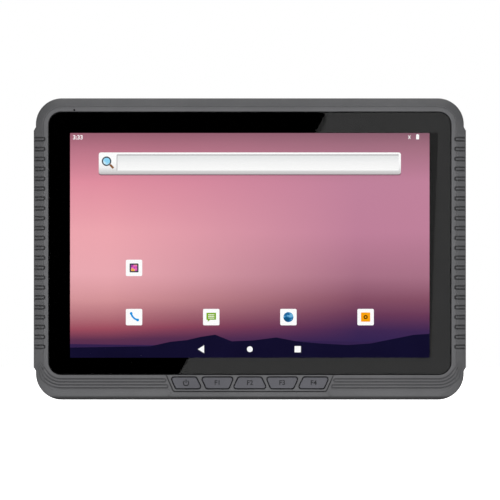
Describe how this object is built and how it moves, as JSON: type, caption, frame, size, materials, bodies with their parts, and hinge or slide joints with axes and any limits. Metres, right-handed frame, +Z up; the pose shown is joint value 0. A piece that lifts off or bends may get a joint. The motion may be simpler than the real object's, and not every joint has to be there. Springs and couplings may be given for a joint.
{
  "type": "rugged tablet data collector",
  "caption": "Rugged landscape tablet for field data: bordered glass display, ribbed side grips, trapezoid function keys, hinged port door, latched battery and a rear mounting pad.",
  "frame": {"origin": "under the middle of the flat bottom edge that the tablet stands on", "axes": "+X to the right as the user sees the screen, +Y from the screen towards the back, +Z up"},
  "size_m": [0.2612, 0.025, 0.1821],
  "materials": {
    "housing": "dark grey moulded plastic with a fine spark-eroded grain",
    "key": null,
    "glass": "polished cover glass with a black printed border",
    "display": "lit colour display",
    "alloy": "die-cast light alloy",
    "rubber": "black silicone",
    "circuit": "green solder mask",
    "flex": "amber polyimide",
    "steel": "plated sheet steel",
    "screw": "black-passivated steel",
    "brass": "knurled brass",
    "black_plastic": "black moulded plastic",
    "battery_case": "fine-grained dark plastic",
    "latch": "smooth black plastic",
    "ceramic": "fired ceramic",
    "lens": "dark hard-coated window",
    "diffuser": "milky flash diffuser"
  },
  "bodies": {
    "tablet": {"front_bezel": "housing", "rear_cover": "housing", "cover_glass": "glass", "lcd_panel": "display", "backlight_unit": "alloy", "mid_frame": "alloy", "glass_gasket": "rubber", "case_seal": "rubber", "keypad_mat": "rubber", "main_board": "circuit", "key_board": "circuit", "keypad_flex": "flex", "wlan_antenna": "flex", "lte_antenna": "flex", "processor_shield": "steel", "radio_shield": "steel", "microphone": "steel", "usb_a_port": "steel", "usb_c_port": "steel", "card_reader": "steel", "latch_spring_left": "steel", "latch_spring_right": "steel", "port_door_pin": "steel", "speaker_left": "black_plastic", "speaker_right": "black_plastic", "camera_module": "black_plastic", "battery_connector": "black_plastic", "dc_jack": "black_plastic", "audio_jack": "black_plastic", "dock_contact_block": "black_plastic", "battery_pack": "battery_case", "gnss_antenna": "ceramic", "camera_window": "lens", "flash_window": "diffuser", "case_screw_1": "screw", "case_screw_2": "screw", "case_screw_3": "screw", "case_screw_4": "screw", "case_screw_5": "screw", "case_screw_6": "screw", "case_screw_7": "screw", "case_screw_8": "screw", "mount_insert_1": "brass", "mount_insert_2": "brass", "mount_insert_3": "brass", "mount_insert_4": "brass"},
    "port_door": {"port_door": "housing", "port_door_seal": "rubber"},
    "battery_latch_left": {"battery_latch_left": "latch"},
    "battery_latch_right": {"battery_latch_right": "latch"},
    "power_key": {"power_key": "key"},
    "f1_key": {"f1_key": "key"},
    "f2_key": {"f2_key": "key"},
    "f3_key": {"f3_key": "key"},
    "f4_key": {"f4_key": "key"}
  },
  "joints": [
    {"name": "power_key_press", "type": "slide", "parent": "tablet", "child": "power_key", "axis": [0, 1, 0], "range_m": [0, 0.0008], "stiffness_N_per_m": 1500, "springref_m": -0.0004},
    {"name": "f1_key_press", "type": "slide", "parent": "tablet", "child": "f1_key", "axis": [0, 1, 0], "range_m": [0, 0.0008], "stiffness_N_per_m": 1500, "springref_m": -0.0004},
    {"name": "f2_key_press", "type": "slide", "parent": "tablet", "child": "f2_key", "axis": [0, 1, 0], "range_m": [0, 0.0008], "stiffness_N_per_m": 1500, "springref_m": -0.0004},
    {"name": "f3_key_press", "type": "slide", "parent": "tablet", "child": "f3_key", "axis": [0, 1, 0], "range_m": [0, 0.0008], "stiffness_N_per_m": 1500, "springref_m": -0.0004},
    {"name": "f4_key_press", "type": "slide", "parent": "tablet", "child": "f4_key", "axis": [0, 1, 0], "range_m": [0, 0.0008], "stiffness_N_per_m": 1500, "springref_m": -0.0004},
    {"name": "battery_latch_left_slide", "type": "slide", "parent": "tablet", "child": "battery_latch_left", "axis": [0, 0, 1], "range_m": [0, 0.004], "stiffness_N_per_m": 300, "springref_m": -0.004, "deforming": ["latch_spring_left"]},
    {"name": "battery_latch_right_slide", "type": "slide", "parent": "tablet", "child": "battery_latch_right", "axis": [0, 0, 1], "range_m": [0, 0.004], "stiffness_N_per_m": 300, "springref_m": -0.004, "deforming": ["latch_spring_right"]},
    {"name": "port_door_hinge", "type": "hinge", "parent": "tablet", "child": "port_door", "pos_m": [-0.041, 0.0066, 0.1806], "axis": [-1, 0, 0], "range_deg": [0, 150]}
  ]
}
